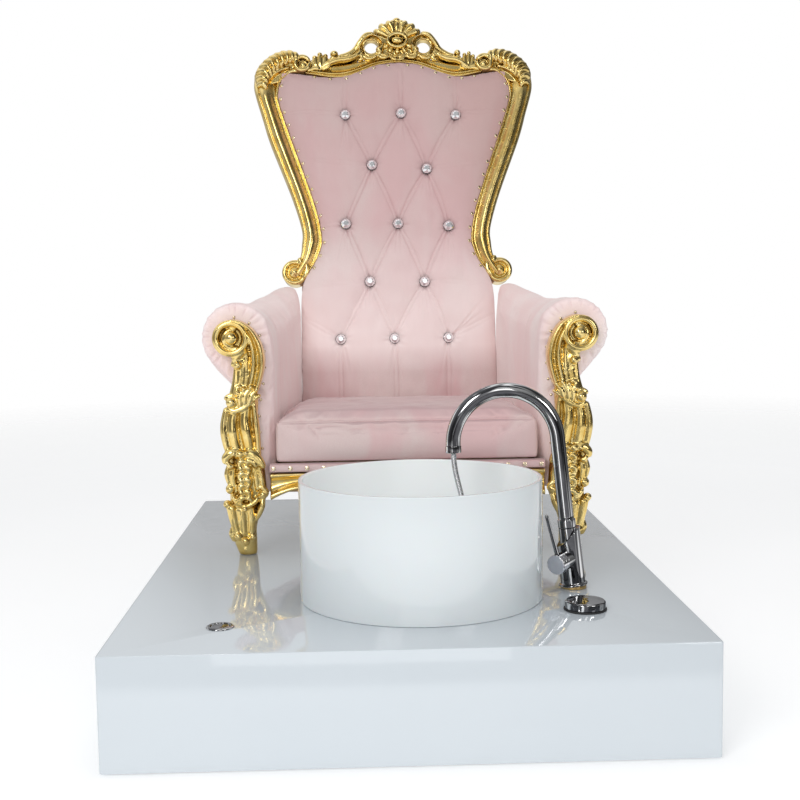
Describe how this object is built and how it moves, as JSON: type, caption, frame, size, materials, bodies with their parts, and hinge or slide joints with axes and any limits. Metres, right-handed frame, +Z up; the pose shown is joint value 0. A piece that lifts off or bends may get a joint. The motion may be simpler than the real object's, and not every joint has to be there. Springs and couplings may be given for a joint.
{
  "type": "pedicure spa chair",
  "caption": "Tufted throne armchair on a glossy plumbed platform with a round foot basin, a gooseneck mixer with pull-out spray, a drain knob and an air button.",
  "frame": {"origin": "centre of the platform's footprint on the floor", "axes": "+X to the side that carries the faucet (the right hand of somebody facing the chair), +Y towards the chair's back, +Z up; the sitter faces -Y"},
  "size_m": [1, 1.39, 1.4585],
  "materials": {
    "lacquer": "glossy white lacquer",
    "timber": "planed, unfinished",
    "plywood": "sanded plywood",
    "rubber_black": "matte",
    "basin_acrylic": "polished white acrylic",
    "chrome_plate": "mirror",
    "flexible_metal": "interlocked metal hose",
    "brass_fitting": "satin",
    "pump_plastic": "moulded",
    "pipe_plastic": "extruded",
    "gold_leaf": "carved wood under bright gold leaf",
    "pink_velvet": "short-pile velvet over foam",
    "crystal": "cut facets"
  },
  "bodies": {
    "base": {"platform_shell": "lacquer", "base_frame": "timber", "seat_frame": "timber", "back_board": "plywood", "seat_deck": "plywood", "foot_pad_front_left": "rubber_black", "foot_pad_front_right": "rubber_black", "foot_pad_rear_left": "rubber_black", "foot_pad_rear_right": "rubber_black", "drain_knob_seat": "rubber_black", "drain_cable": "rubber_black", "basin": "basin_acrylic", "drain_flange": "chrome_plate", "air_button_bezel": "chrome_plate", "faucet_body": "chrome_plate", "faucet_nut": "brass_fitting", "faucet_seat_ring": "brass_fitting", "drain_pump": "pump_plastic", "drain_pipe": "pipe_plastic", "outlet_pipe": "pipe_plastic", "air_tube": "pipe_plastic", "supply_hose_hot": "pipe_plastic", "supply_hose_cold": "pipe_plastic", "front_post_right": "gold_leaf", "front_post_left": "gold_leaf", "rear_leg_right": "gold_leaf", "rear_leg_left": "gold_leaf", "front_apron": "gold_leaf", "back_rail_right": "gold_leaf", "back_rail_left": "gold_leaf", "crest_rail": "gold_leaf", "arm_right": "pink_velvet", "arm_left": "pink_velvet", "seat_cushion": "pink_velvet", "front_rail_cover": "pink_velvet", "back_cushion": "pink_velvet", "outer_back_panel": "pink_velvet", "crystal_button_1_1": "crystal", "crystal_button_1_2": "crystal", "crystal_button_1_3": "crystal", "crystal_button_2_1": "crystal", "crystal_button_2_2": "crystal", "crystal_button_3_1": "crystal", "crystal_button_3_2": "crystal", "crystal_button_3_3": "crystal", "crystal_button_4_1": "crystal", "crystal_button_4_2": "crystal", "crystal_button_5_1": "crystal", "crystal_button_5_2": "crystal", "crystal_button_5_3": "crystal"},
    "spout": {"spout_tube": "chrome_plate", "spout_nozzle": "chrome_plate", "spray_hose": "flexible_metal"},
    "spray": {"spray_head": "chrome_plate"},
    "mixer_handle": {"mixer_cap": "chrome_plate"},
    "mixer_pin": {"mixer_lever": "chrome_plate"},
    "drain_control": {"drain_knob": "chrome_plate"},
    "stopper": {"drain_stopper": "chrome_plate"},
    "air_control": {"air_button": "chrome_plate"},
    "service_panel": {"rear_access_panel": "lacquer"}
  },
  "joints": [
    {"name": "spout_swivel", "type": "hinge", "parent": "base", "child": "spout", "pos_m": [0.323, -0.327, 0.195], "axis": [-0.1045, 0, 0.9945], "range_deg": [-40, 38]},
    {"name": "spray_dock", "type": "slide", "parent": "spout", "child": "spray", "axis": [-0.1313, 0.2133, 0.9681], "range_m": [-0.02, 0.116], "deforming": ["spray_hose"]},
    {"name": "mixer_turn", "type": "hinge", "parent": "base", "child": "mixer_handle", "pos_m": [0.31694, -0.327, 0.25268], "axis": [-0.6123, -0.788, -0.0644], "range_deg": [-70, 0]},
    {"name": "mixer_lift", "type": "hinge", "parent": "mixer_handle", "child": "mixer_pin", "pos_m": [0.29, -0.36167, 0.24985], "axis": [0.7837, -0.6157, 0.0824], "range_deg": [-16, 0]},
    {"name": "drain_knob_turn", "type": "hinge", "parent": "base", "child": "drain_control", "pos_m": [0.316, -0.483, 0.195], "axis": [0, 0, 1], "range_deg": [0, 90]},
    {"name": "drain_stopper_lift", "type": "slide", "parent": "base", "child": "stopper", "axis": [0, 0, 1], "range_m": [0, 0.01]},
    {"name": "air_button_press", "type": "slide", "parent": "base", "child": "air_control", "axis": [0, 0, -1], "range_m": [0, 0.005]},
    {"name": "service_panel_pull", "type": "slide", "parent": "base", "child": "service_panel", "axis": [0, 1, 0], "range_m": [0, 0.08]}
  ],
  "couplings": [
    {"joint": "drain_stopper_lift", "follows": "drain_knob_turn", "m_per_rad": 0.00636}
  ]
}
